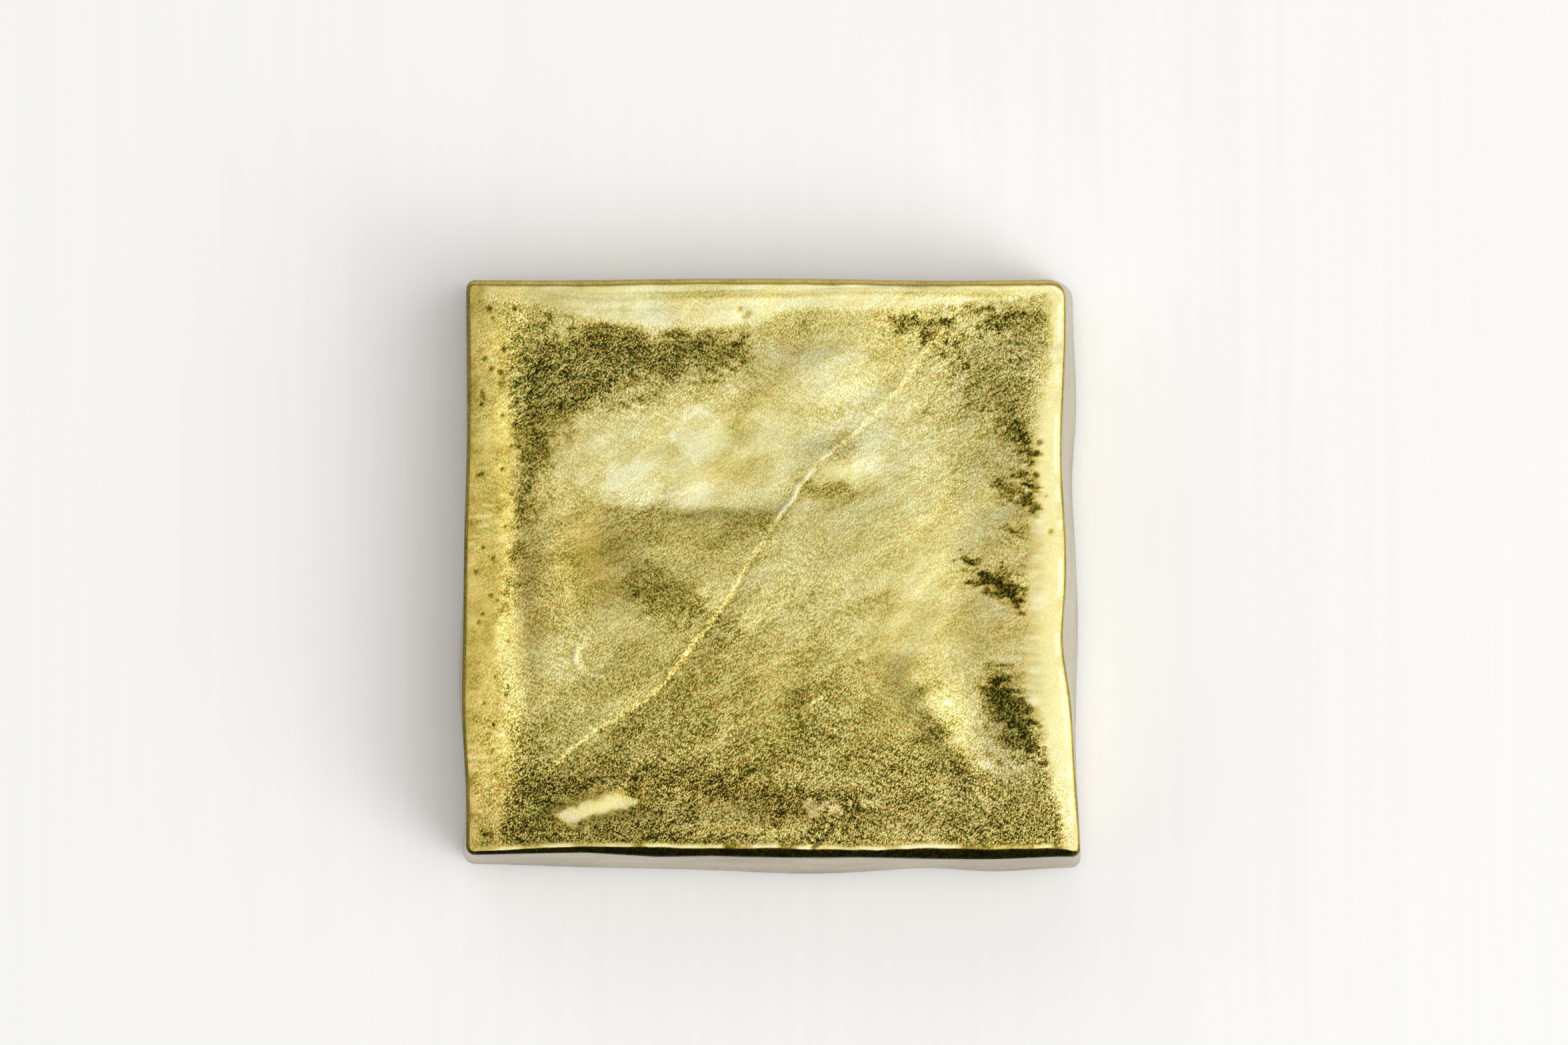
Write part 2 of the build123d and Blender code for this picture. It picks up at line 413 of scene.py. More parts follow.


# ---- tone of the skin

# Tone runs from 0, black-green foundry skin, through 0.5, olive, to 1, cream-coloured brass. It carries
# patina and painted light together: many bright patches are painted highlights that slopes catch, many dark
# ones painted shade.
# Each patch: its outline, its tone, how far it covers, softness and raggedness of its edge in mm.
TONE_PATCHES = (
    # painted highlight on the long slope on the upper left, its brightest part, and the bright grain to its
    # lower left
    ([(-24.2, 13), (-20.3, 17.2), (-15.5, 19), (-7.7, 20), (-1.9, 22), (4, 24.6), (9.8, 25.3),
      (12.7, 22.8), (11.7, 19.4), (7.8, 17), (6.9, 13.6), (4, 11.2), (2.5, 8.4), (-1.9, 6.8), (-9.6, 6.7),
      (-17.9, 7.2), (-22.8, 8.6)], 0.80, 0.85, 1.0, 1.0),
    ([(-18.6, 9.4), (-17.0, 11.8), (-13.6, 12.6), (-11.8, 10.4), (-12.6, 7.9),
      (-16.6, 7.9)], 0.97, 0.8, 0.9, 1.0),
    ([(-11.0, 16.4), (-7.6, 18.0), (-4.4, 17.0), (-4.0, 13.6), (-7.6, 12.6),
      (-10.6, 14.4)], 0.95, 0.8, 0.9, 1.0),
    ([(-11.4, 10.6), (-6.0, 11.6), (-3.2, 9.6), (-4.8, 7.6), (-10.4, 7.5)], 0.88, 0.7, 0.9, 1.0),
    ([(-16.8, 14.4), (-12.0, 15.4), (-10.8, 13.2), (-13.6, 13.0), (-16.8, 12.9)], 0.70, 0.6, 0.7, 0.9),
    ([(-27, 5), (-22.7, 7.6), (-18.4, 5.6), (-21.6, -0.5), (-22.2, -6.4), (-27, -8),
      (-28, -2.5)], 0.60, 0.8, 1.0, 1.2),
    # olive under its crisp foot, a smooth tan patch and a dark patch
    ([(-18.4, 7.0), (-14.5, 6.9), (-9.6, 6.6), (-1.9, 6.8), (1.2, 6.4), (0.1, 4.0), (-4.8, 2.6),
      (-11.6, 2.8), (-17.4, 3.6)], 0.50, 0.85, 0.45, 0.5),
    ([(-22.7, 5), (-18.4, 6.3), (-15.4, 2.4), (-15.9, -2.5), (-20.3, -4.9),
      (-22.2, -0.5)], 0.50, 0.8, 1.2, 0.5),
    ([(-16.0, 0.8), (-11.6, 0.4), (-7.0, -2), (-5.7, -5), (-11.6, -5.4),
      (-15.9, -3)], 0.34, 0.8, 1.1, 1.4),
    # the dark wedge, its two darkest parts, and the strip going down from it
    ([(-28.3, 26.3), (-24.2, 25.9), (-18.4, 27.2), (-13.5, 26.5), (-8.7, 26), (-2.4, 24.8), (-3.1, 22.6),
      (-8.7, 21), (-14.5, 19.8), (-18.4, 18.2), (-22.2, 16), (-24.7, 11.6), (-26.8, 11),
      (-27.1, 19.4)], 0.38, 0.9, 1.6, 1.8),
    ([(-20.5, 27.0), (-12.5, 26.3), (-3.0, 24.8), (-3.5, 23.6), (-12.5, 23.2),
      (-19.0, 24.2)], 0.30, 0.8, 1.3, 1.8),
    ([(-27.2, 25.6), (-23.0, 25.6), (-21.8, 20.5), (-24.6, 15), (-26.4, 11),
      (-27.3, 14)], 0.30, 0.8, 0.9, 1.6),
    ([(-27.1, 19.4), (-24.9, 18), (-24.7, 13.1), (-25.8, 9.2), (-26.6, 4.3), (-27.6, -2.5), (-29.2, -5.4),
      (-29.2, 0.4), (-28.0, 6.3), (-27.1, 12.1)], 0.34, 0.8, 0.6, 1.1),
    # bright skin right of the fold's upper end
    ([(8.6, 16.6), (12.6, 19.6), (17.0, 16.4), (19.4, 11.0), (13.4, 8.8),
      (9.6, 11.8)], 0.84, 0.8, 1.5, 1.6),
    # smooth patch by the fold painted light as the highlight of its swell, and painted shade under it
    ([(5.4, 11.4), (7.8, 12), (10.3, 11.2), (9.8, 9.9), (6.9, 9.9)], 0.86, 0.8, 0.5, 0.3),
    ([(3.6, 9.6), (8.8, 9.6), (9.6, 8.4), (6.2, 7.8), (4.0, 8.2)], 0.36, 0.7, 0.5, 0.6),
    # bright fine-grained right half
    ([(2.5, 7), (9.8, 9.2), (23.4, 9.2), (25.3, 2.4), (26.8, -7.3), (19.5, -12.2), (9.8, -7.3),
      (3, -2.5)], 0.72, 0.6, 2.0, 2.0),
    # darker lower middle and front right, shaded along the fold
    ([(-16.5, -17.1), (-9.7, -10.3), (-3.9, -4.4), (9.8, -9.8), (17.5, -15.6), (22, -22.9), (29.2, -23.8),
      (31.6, -29.7), (4.9, -30.4), (-14.6, -22)], 0.45, 0.75, 2.0, 2.2),
    ([(-24.5, -23.8), (-18.2, -18.4), (-13.4, -15.4), (-8.9, -10.6), (-7.4, -12.6), (-13.5, -19.4),
      (-20.5, -24)], 0.40, 0.7, 0.9, 1.4),
    # back right corner: coarse grain with dark spots
    ([(13.5, 27.6), (31.1, 28.4), (31.1, 17), (27.3, 14), (20.9, 19.4),
      (16.6, 23.8)], 0.57, 0.7, 1.6, 2.4),
    ([(13.6, 28.0), (20.7, 28.4), (19.9, 26.4), (14.6, 26.3)], 0.26, 0.85, 0.6, 1.2),
    ([(21.9, 29.3), (31.1, 28.7), (31.6, 25), (28.4, 26), (24.3, 27.6)], 0.34, 0.8, 0.7, 1.5),
    ([(23.0, 20.5), (27.6, 23.0), (28.8, 17.5), (25.6, 15.6)], 0.34, 0.6, 1.2, 2.4),
    ([(24.0, 15.0), (28.0, 14.0), (29.5, 6.0), (28.6, -3.0), (29.4, -12.0), (25.0, -10.0),
      (24.6, 2.0)], 0.74, 0.7, 1.2, 1.6),
    # lower right: the hollow's lit side painted cream as a highlight, and painted shade in the dark line
    # before it
    ([(19, -11.6), (24.0, -11.4), (23.4, -18.0), (27.4, -21.6), (26.6, -23.0), (22.8, -21.8),
      (19.2, -16.6)], 0.74, 0.85, 0.8, 1.1),
    ([(16.4, -13.5), (18.6, -16.4), (22.4, -22.6), (20.6, -22.8), (16.8, -17.4)], 0.34, 0.7, 0.7, 1.0),
    # before the front edge: dark above the lozenge, coppery streaks, green-black corner, a bright swell
    # painted as its highlight, and painted highlights on the lozenge and two small blobs
    ([(-29.6, -23), (-24.7, -21.4), (-15.9, -21), (-9, -22.4), (-12, -24.4), (-20.3, -24.6),
      (-25.2, -25.8)], 0.30, 0.8, 0.9, 1.6),
    ([(-11.6, -22), (-1.9, -22.4), (5, -24.2), (13, -26.4), (7.8, -27.6), (0.1, -26.4),
      (-8.7, -25)], 0.24, 0.85, 0.9, 1.6),
    ([(-13, -28), (-8.7, -26.4), (0.1, -26.4), (3.6, -28), (0.1, -29.4),
      (-9.6, -29.2)], 0.66, 0.7, 0.7, 1.4),
    ([(-25, -27.9), (-13, -28.3), (-4, -29.6), (-4, -30.3), (-25, -30)], 0.26, 0.6, 0.5, 1.0),
    ([(24.0, -24.0), (30.6, -24.0), (31.4, -29.6), (26, -29.6)], 0.40, 0.6, 1.2, 2.6),
    ([(-23.3, -26.7), (-21.8, -27.7), (-19.8, -27.4), (-18.2, -26.5), (-14.0, -25.7), (-15.6, -24.6),
      (-17.2, -24.3), (-20.2, -25.3)], 0.84, 1.0, 0.25, 0.35),
    ([(4.2, -25.6), (8.2, -25.4), (8.2, -26.4), (4.8, -26.4)], 0.88, 0.85, 0.35, 0.7),
    ([(10.6, -25.3), (12.6, -25.2), (12.3, -25.9), (10.8, -25.9)], 0.85, 0.85, 0.3, 0.6),
)

# Green-black patches against the right rim: outline, tone. Sand dragged sideways combed their edges.
COMBED_PATCHES = (
    ([(27.0, 16.4), (28.0, 16.2), (29.5, 13.0), (28.8, 12.1), (27.6, 14.1)], 0.12),
    ([(28.2, 10.5), (29.6, 10.2), (29.5, 9.4), (28.4, 9.6)], 0.12),
    ([(25.0, 9.8), (27.2, 9.3), (28.0, 8.3), (26.4, 8.0)], 0.30),
    ([(28.0, 8.2), (29.5, 8.3), (29.4, 6.0), (28.4, 6.3)], 0.10),
    ([(26.8, 4.5), (28.3, 4.3), (28.2, 3.6), (27.0, 3.8)], 0.22),
    ([(21.8, 1.3), (23.4, -0.2), (25.6, -0.5), (27.3, -1.6), (28.0, -4.8), (26.5, -3.6), (24.4, -2.7),
      (22.4, -1.8)], 0.05),
    ([(24.6, -11.0), (26.4, -11.4), (27.6, -14), (29.4, -17), (30.3, -21.6), (28.6, -20.6), (26.1, -18.2),
      (24.2, -15.0)], 0.12),
)

# Broad lighter and darker areas: centre, radii, turn, how much is added to the tone. The first ones
# lie under the patches, the others over them.
UNDER_SWELLS = (
    ((-16.5, -11.0), (6.5, 4.0), 0, -0.13),
    ((-3.5, -11.5), (3.6, 3.6), 0, 0.12),
    ((8.0, -4.0), (7.0, 4.0), 0, -0.07),
    ((15.0, -28.5), (8.0, 2.6), 0, 0.12),
    ((-20.0, -28.0), (5.0, 2.0), 0, 0.10),
    ((-28.0, 28.0), (5.0, 3.0), 0, -0.12),
)
OVER_SWELLS = (
    ((-7.0, 19.8), (6.5, 2.6), 0, -0.13),
    ((-3.5, 12.5), (4.0, 4.0), 0, -0.09),
    ((12.0, 12.5), (4.5, 4.0), 0, 0.12),
    ((-20.5, 11.5), (3.0, 4.0), 0, -0.07),
    ((-28.5, 12.0), (3.0, 5.0), 0, 0.06),
    ((-26.3, 2.5), (1.8, 5.0), 0, -0.12),
    ((26.5, -8.0), (2.6, 3.6), 0, 0.06),
    ((19.0, 4.0), (5.0, 4.0), 0, 0.06),
    ((30.0, 19.0), (1.5, 5.0), 0, 0.08),
)

# Lighter and darker lines, the lighter ones partly rubbed and partly painted highlight: path, width, how
# much is added to the tone
TONE_LINES = (
    (NICK, 0.2, 0.35),
    (GROOVE, 0.3, -0.20),
    ([(-5.4, -19.8), (-4.1, -14.9)], 0.8, 0.10),
    ([(23.6, -21.2), (26.0, -22.4), (29.0, -21.2)], 0.35, 0.25),
)


def face_tone(x, y):
    """Tone of the skin over the sunken face: patina, with painted highlights and painted shade."""
    tone = 0.68 + 0.10 * layered_noise(x, y, 6, 131, 3, 1.4, 25)
    tone -= 0.20 * smooth(-24.0, -28.5, y) + 0.14 * hump(x, y, (-28.0, -26.0), (6.0, 5.0))
    tone -= 0.12 * smooth(-8.0, -20.0, y) + 0.10 * hump(x, y, (-2.0, -25.0), (12.0, 4.0))
    tone += swells(x, y, UNDER_SWELLS)
    for k, (outline, value, cover, soft, ragged) in enumerate(TONE_PATCHES):
        mask = inside(x, y, outline, soft, ragged, 140 + 3 * k, 1.4, 1.5, 20) * cover
        tone = tone * (1 - mask) + (value + 0.10 * layered_noise(x, y, 3.5, 240 + k, 3)) * mask
    tone += swells(x, y, OVER_SWELLS)

    # Back rim: smooth brass painted cream as the highlight its slope catches, thinner and darker towards
    # the left; a pale line and a dark one near its crest
    rise = y - curve_at(x, BACK_SLOPE) + 0.3 * layered_noise(x, y, 2.5, 301, 3)
    cream = smooth(-0.3, 0.6, rise) * (0.35 + 0.65 * smooth(-29, -19, x))
    tone = tone * (1 - 0.85 * cream) + (0.90 + 0.08 * layered_noise(x, y, 2.2, 305, 3, 2.5)) * 0.85 * cream
    line = (31.2 - y) - 0.9 + 0.45 * layered_noise(x, y * 0.1, 9, 31, 2)
    tone -= 0.22 * bell(line, 0.28) * smooth(-20, -10, x) * smooth(30, 24, x)

    # Left rim: smooth mid gold with short cream streaks across it, which are painted highlights
    left = smooth(0.6, -0.5, x - curve_at(y, LEFT_RIM) + 0.8 * layered_noise(x, y, 1.3, 311, 3, 2.0))
    streaks = smooth(0.15, 0.75, layered_noise(x, y, 0.55, 315, 2, 4.0))
    where = hump(x, y, (-30.5, 5.0), (9.0, 6.0)) + hump(x, y, (-29.5, -20.5), (9.0, 5.0))
    gold = 0.55 + 0.16 * layered_noise(x, y, 1.8, 318, 3) + 0.22 * streaks * where
    tone = tone * (1 - left) + gold * left

    # Right rim, painted lighter than the left rim as a highlight where it faces the light, and the comb
    # marks along its foot
    right = smooth(-0.6, 0.6, x - curve_at(y, RIGHT_RIM) + 0.8 * layered_noise(x, y, 1.2, 321, 3, 2.0))
    tone = tone * (1 - right) + (0.85 + 0.08 * layered_noise(x, y, 3, 325, 3)) * right
    comb = layered_noise(x, y, 0.45, 331, 2, 6.0, -4)
    inward = CREST_X + 0.4 - x
    reach = smooth(10.5, 7.5, inward) * smooth(2.4, 3.8, inward) * smooth(-23, -20, y) * smooth(19, 15, y)
    tone += 0.14 * comb * reach
    for k, (outline, value) in enumerate(COMBED_PATCHES):
        grainy = inside(x, y, outline, 0.35, 0.9, 350 + 3 * k, 0.9)
        combed = inside(x, y, outline, 0.30, 1.5, 370 + 3 * k, 0.45, 7.0, -6)
        mask = np.clip(0.36 * grainy + 0.62 * combed, 0, 1)
        tone = tone * (1 - mask) + value * mask

    # Ridge lines painted bright, partly rubbed and partly painted highlight: the fold, the crescent and the
    # nick, with painted shade along the fold's lower side. The groove is darker.
    distance, share, side = along_fold(x, y)
    broken = smooth(-0.3, 0.6, lattice_noise(x, y, 1.1, 21))
    band = bell(distance, 0.18 + 0.50 * smooth(0.6, 0.2, share))
    tone += 0.04 * band * broken * smooth(0.0, 0.08, share)
    tone += 0.35 * bell(distance, 0.24) * smooth(0.83, 0.87, share)
    tone -= 0.12 * bell(distance - 0.45, 0.25) * (side < 0)
    distance, share, side = along_path(x, y, FOLD_END)
    tone += 0.15 * bell(distance, 0.16) * smooth(0.0, 0.4, lattice_noise(x, y, 1.7, 22))
    ring, curl = crescent(x, y)
    tone += 0.24 * bell(ring - 1, 0.11) * curl
    for path, width, gain in TONE_LINES:
        tone += gain * bell(along_path(x, y, path)[0], width)
    for cx, cy, radius in np.vstack([PITS, scattered_pits()]):
        tone -= 0.5 * bell(np.hypot(x - cx, y - cy), radius)
    between_rims = smooth(5.0, 6.5, CREST_X + x) * smooth(3.6, 5.0, CREST_X - x)
    tone += 0.13 * layered_noise(x, y, 1.6, 391, 2, 2.2, 25) * between_rims
    return np.clip(tone, 0, 1)


# Where copper shows through, and where the grain is stronger or fainter: centre, radii, turn, how much
WARM_AREAS = (
    ((-18.8, 1.0), (3.6, 5.4), 12, 0.55),  # smooth tan patch
    ((-26.0, 0.0), (2.5, 9.0), 0, 0.60),
    ((-3.0, -24.6), (13.0, 1.8), -8, 0.50),  # reddish streaks above the front edge
    ((4.0, -27.4), (9.0, 0.7), 6, 0.50),
    ((26.0, -4.0), (4.5, 8.0), 0, 0.60),  # tan skin along the right rim
    ((28.5, 10.0), (2.5, 8.0), 0, 0.35),
    ((28.0, -3.6), (1.2, 1.4), 30, 0.70),  # red end of the dark patch
    ((-31.5, -17.0), (1.5, 14.0), 0, 0.25),
)
GRAIN_AREAS = (
    ((-18, 22.5), (12, 5), 6, 0.35),
    ((27, -27), (9, 6), 0, 0.40),
    ((25, 23), (9, 7), 0, 0.35),
    ((-18.8, 1.2), (3.6, 5.6), 12, -0.45),  # smooth tan patch
    ((-19.0, -26.0), (5.2, 1.7), 12, -1.00),  # lozenge
    ((7.8, 10.8), (2.4, 1.1), 0, -0.50),
    ((19, -3), (8, 10), 0, -0.20),
    ((-8, 12), (12, 6), 8, -0.24),
    ((5, 21), (9, 6), 30, -0.14),
)


def face_warmth(x, y):
    """How much copper shows through, from 0 to 1."""
    warmth = swells(x, y, WARM_AREAS) + 0.35 * smooth(2.0, 0.4, CREST_X + x)
    warmth += 0.3 * smooth(1.0, -0.5, x - curve_at(y, LEFT_RIM)) + 0.3 * smooth(-16.0, -25.0, y)
    return np.clip(warmth + 0.25 * smooth(0.1, 0.6, layered_noise(x, y, 5, 121, 3)), 0, 1)


def face_grain(x, y, rim):
    """Strength of the sand grain: strong in the corners, faint on the rims and the tan patch."""
    grain = 0.58 + 0.20 * layered_noise(x, y, 7, 101, 2) + 0.42 * smooth(-12, -25, y)
    grain += swells(x, y, GRAIN_AREAS)
    grain -= 0.40 * smooth(0.8, -0.6, x - curve_at(y, LEFT_RIM))
    grain -= 0.60 * smooth(-1.0, 0.6, x - curve_at(y, RIGHT_RIM))
    grain -= 0.30 * smooth(0.0, 1.0, y - curve_at(x, BACK_SLOPE))
    return np.clip(grain, 0.08, 1) * smooth(-0.4, 1.0, rim)


# ---- mesh making


def make_object(name, points_mm, faces, material, attributes=None):
    """A mesh object from points in millimetres, smooth shaded."""
    mesh = bpy.data.meshes.new(name)
    mesh.from_pydata((np.asarray(points_mm) * MM).tolist(), [], faces)
    mesh.validate()
    mesh.shade_smooth()
    for key, values in (attributes or {}).items():
        layer = mesh.attributes.new(key, "FLOAT", "POINT")
        layer.data.foreach_set("value", np.asarray(values, np.float32))
    mesh.materials.append(material)
    obj = bpy.data.objects.new(name, mesh)
    bpy.context.scene.collection.objects.link(obj)
    return obj


def coons_grid(ring, nx, ny):
    """Points of a grid stretched inside a four-sided ring, rows from front to back."""
    front = ring[: nx + 1]
    right = ring[nx : nx + ny + 1]
    back = ring[nx + ny : 2 * nx + ny + 1][::-1]
    left = np.concatenate([ring[2 * nx + ny :], ring[:1]])[::-1]
    u = np.linspace(0, 1, nx + 1)[None, :, None]
    v = np.linspace(0, 1, ny + 1)[:, None, None]
    sides = (1 - v) * front[None] + v * back[None] + (1 - u) * left[:, None] + u * right[:, None]
    flat = (1 - u) * (1 - v) * front[0] + u * (1 - v) * front[-1] + (1 - u) * v * back[0] + u * v * back[-1]
    return sides - flat


def ring_index(nx, ny):
    """Indices of a grid's rim, going round from the front-left corner as the ring does."""
    width = nx + 1
    front = list(range(nx))
    right = [nx + j * width for j in range(ny)]
    back = [ny * width + i for i in range(nx, 0, -1)]
    left = [j * width for j in range(ny, 0, -1)]
    return np.array(front + right + back + left)


def grid_faces(nx, ny, start=0, flip=False):
    width = nx + 1
    faces = []
    for j in range(ny):
        for i in range(nx):
            a = start + j * width + i
            quad = (a, a + 1, a + width + 1, a + width)
            faces.append(quad[::-1] if flip else quad)
    return faces


def band_faces(upper, lower):
    """Quads between two rings of indices, the upper one inside or above the lower one."""
    count = len(upper)
    return [(int(upper[k]), int(lower[k]), int(lower[(k + 1) % count]), int(upper[(k + 1) % count]))
            for k in range(count)]


class Skin:
    """Collects a closed mesh ring by ring, with the numbers its material needs at every point."""

    def __init__(self, points, faces, edge, **values):
        self.points = [points]
        self.faces = faces
        self.last = edge
        self.total = len(points)
        self.values = {key: [np.asarray(value, float)] for key, value in values.items()}

    def ring(self, plan, height, **values):
        count = len(plan)
        self.points.append(np.column_stack([plan, np.broadcast_to(height, count)]))
        index = np.arange(self.total, self.total + count)
        self.faces += band_faces(self.last, index)
        self.last = index
        self.total += count
        for key, parts in self.values.items():
            parts.append(np.broadcast_to(values.get(key, 0.0), count).astype(float))

    def close(self, centre):
        count = len(self.last)
        self.points.append(np.array([centre], float))
        for k in range(count):
            self.faces.append((int(self.last[k]), self.total, int(self.last[(k + 1) % count])))
        for parts in self.values.values():
            parts.append(np.zeros(1))

    def result(self):
        values = {key: np.concatenate(parts) for key, parts in self.values.items()}
        return np.concatenate(self.points), values


def block_rings(counts):
    """The block's outline at the shoulder, above the wall, and at the foot, both from the CAD block."""
    shoulder_level = TOP - EDGE_DROP
    low_level = FILM_TOP + 0.15
    foot_level = BASE + BASE_ROUND
    shoulder = sides_of(slice_outline("cast_block", shoulder_level), counts)
    low = sides_of(slice_outline("cast_block", low_level), counts)
    foot = low + (low - shoulder) * (low_level - foot_level) / (shoulder_level - low_level)
    return shoulder, foot


def make_skin():
    """The whole surface of the brass block, from the face round the edges to the pocket underneath."""
    size = block_high - block_low
    nx, ny = round(size[0] / FACE_STEP), round(size[1] / FACE_STEP)
    counts = (nx, ny, nx, ny)
    shoulder, foot = block_rings(counts)
    ring_out = outward(shoulder)
    foot_out = outward(foot)
    along = np.arange(len(shoulder)) * FACE_STEP
    even = np.zeros(len(along))
    front, back, left, right = (blur_ring((ring_out @ np.array(way) > 0.7).astype(float), 9)
                                for way in ((0.0, -1.0), (0.0, 1.0), (-1.0, 0.0), (1.0, 0.0)))
    bevel = curve_at(shoulder[:, 0], FRONT_BEVEL)
    shoulder = shoulder - ring_out * (front * curve_at(shoulder[:, 0], FRONT_INSET))[:, None]
    reach = EDGE_REACH * (1 + 0.90 * back + 0.10 * left) * (1 - front) + bevel * front
    reach = reach + (0.05 + 0.05 * front + 0.10 * back) * layered_noise(along, even, 3.5, 5, 3)
    crest = shoulder - ring_out * reach[:, None]

    grid = coons_grid(crest, nx, ny).reshape(-1, 2)
    x, y = grid.T
    rim = np.full(len(grid), 1e9)
    for a in crest[::2]:
        rim = np.minimum(rim, np.hypot(x - a[0], y - a[1]))
    edge = ring_index(nx, ny)
    rim[edge] = 0
    columns, rows = np.linspace(0, size[0], nx + 1), np.linspace(0, size[1], ny + 1)
    u, v = (place.ravel() for place in np.meshgrid(columns, rows))
    sunken = smooth(0, 8, u) * smooth(2.5, 14, size[0] - u) * smooth(0, 8, v) * smooth(0, 8, size[1] - v)
    sunken += 0.16 * smooth(3.2, 0.0, size[0] - u) * smooth(0, 4, v) * smooth(0, 4, size[1] - v)
    z = TOP - 0.10 + face_relief(x, y, rim, sunken)
    # Painted highlight along the front and right crests
    painted_crest_highlight = smooth(0.70, 0.2, rim) * (smooth(1.2, 0.5, v) + 0.8 * smooth(1.2, 0.5, size[0] - u))
    painted_crest_highlight *= smooth(-0.5, 0.3, layered_noise(x, y, 2.0, 431, 2))
    tone = np.clip(face_tone(x, y) + 0.60 * painted_crest_highlight, 0, 1)
    skin = Skin(np.column_stack([grid, z]), grid_faces(nx, ny), edge, tone=tone, warmth=face_warmth(x, y),
                grain=face_grain(x, y, rim) * (1 - 0.7 * painted_crest_highlight), wall=np.zeros(len(grid)))

    # Top edge: a tight round, but on the front side a bevel that ends in a quick turn; besides mirroring
    # the room's dark gap, the bevel is painted near black as a painted reflection.
    crest_z = z[edge]
    shoulder_z = TOP - EDGE_DROP
    patchy = layered_noise(along, even, 4.0, 401, 3)
    for share in np.linspace(0.1, 1.0, 10):
        angle = share * math.pi / 2
        round_out, round_drop = math.sin(angle) ** SQUARENESS, 1 - math.cos(angle) ** SQUARENESS
        bevel_out = min(0.96, 1.2 * share) + 0.04 * smooth(0.8, 1.0, share)
        bevel_z = crest_z - BEVEL_SLOPE * bevel * min(1.0, 1.25 * share) ** 1.1
        bevel_z = bevel_z + (shoulder_z - bevel_z) * smooth(0.78, 1.0, share)
        round_z = crest_z + (shoulder_z - crest_z) * round_drop
        out = round_out * (1 - front) + bevel_out * front
        middle = smooth(0.0, 0.3, share)
        # Painted light and shade by side on the round: darker on the left, lighter at the back and right;
        # the warmth below is painted browner on the left and back as shade
        tone = 0.60 + 0.15 * back - middle * (0.24 + 0.08 * left - 0.14 * right) + 0.10 * patchy
        # The front bevel's painted dark reflection
        tone = tone * (1 - front) + (0.60 - 0.57 * smooth(0.0, 0.15, share) + 0.03 * patchy) * front
        wall = smooth(0.65, 1.0, share) * (1 - front) + 0.9 * smooth(0.9, 1.0, share) * front
        skin.ring(crest + ring_out * (reach * out)[:, None], round_z * (1 - front) + bevel_z * front,
                  tone=np.clip(tone, 0, 1), warmth=0.25 + 0.5 * left + 0.3 * back,
                  grain=0.10 + 0.15 * front, wall=wall)

    # Leaning wall between the shoulder and the foot, with swells and drag marks, painted lighter on the
    # right side where the light falls and darker near the base as painted shade
    foot_z = BASE + BASE_ROUND
    wall_rows = round((shoulder_z - foot_z) / WALL_STEP)
    for share in np.linspace(0, 1, wall_rows + 1)[1:]:
        height = shoulder_z + (foot_z - shoulder_z) * share
        swell = 0.16 * layered_noise(along, even + height, 8.0, 91, 3, 1.5)
        swell += 0.035 * layered_noise(along, even + height, 1.6, 95, 2, 1.6)
        swell *= 0.25 + 0.75 * math.sin(math.pi * share)
        plan = shoulder * (1 - share) + foot * share
        normal = ring_out * (1 - share) + foot_out * share
        tone = 0.66 + 0.10 * right + 0.12 * layered_noise(along, even + height, 5.0, 411, 3, 2.0)
        tone += 0.10 * layered_noise(along, even + height, 0.9, 415, 2, 4.0)
        tone -= 0.22 * bell(height - BASE, 2.2) * (0.7 + 0.6 * patchy)
        skin.ring(plan + normal * swell[:, None], height, tone=np.clip(tone, 0, 1), wall=1.0, grain=0.22,
                  warmth=0.2 + 0.3 * smooth(0.1, 0.6, layered_noise(along, even + height, 4.0, 421, 3)))
    # The round at the foot keeps the painted shade, darker than the wall
    for angle in np.radians((25, 50, 75, 90)):
        inward = BASE_ROUND * (1 - math.cos(angle))
        height = foot_z - BASE_ROUND * math.sin(angle)
        skin.ring(foot - foot_out * inward, height, tone=0.45, wall=0.6, grain=0.2)

    # Ground underside, the pocket's wall and its roof
    pocket = rounded_ring((felt_high[:2] - felt_low[:2]) / 2 + POCKET_GAP, POCKET_CORNER, counts)
    base_edge = foot - foot_out * BASE_ROUND
    for share in (0.3, 0.65, 0.97):
        skin.ring(base_edge * (1 - share) + pocket * share, BASE, tone=0.7, grain=0.15)
    skin.ring(pocket, BASE + 0.05, tone=0.5, grain=0.15)
    skin.ring(pocket, FILM_TOP, tone=0.4, grain=0.3)
    for share in (0.75, 0.5, 0.25):
        skin.ring(pocket * share, FILM_TOP, tone=0.4, grain=0.3)
    skin.close((0.0, 0.0, FILM_TOP))
    return skin


# ---- materials


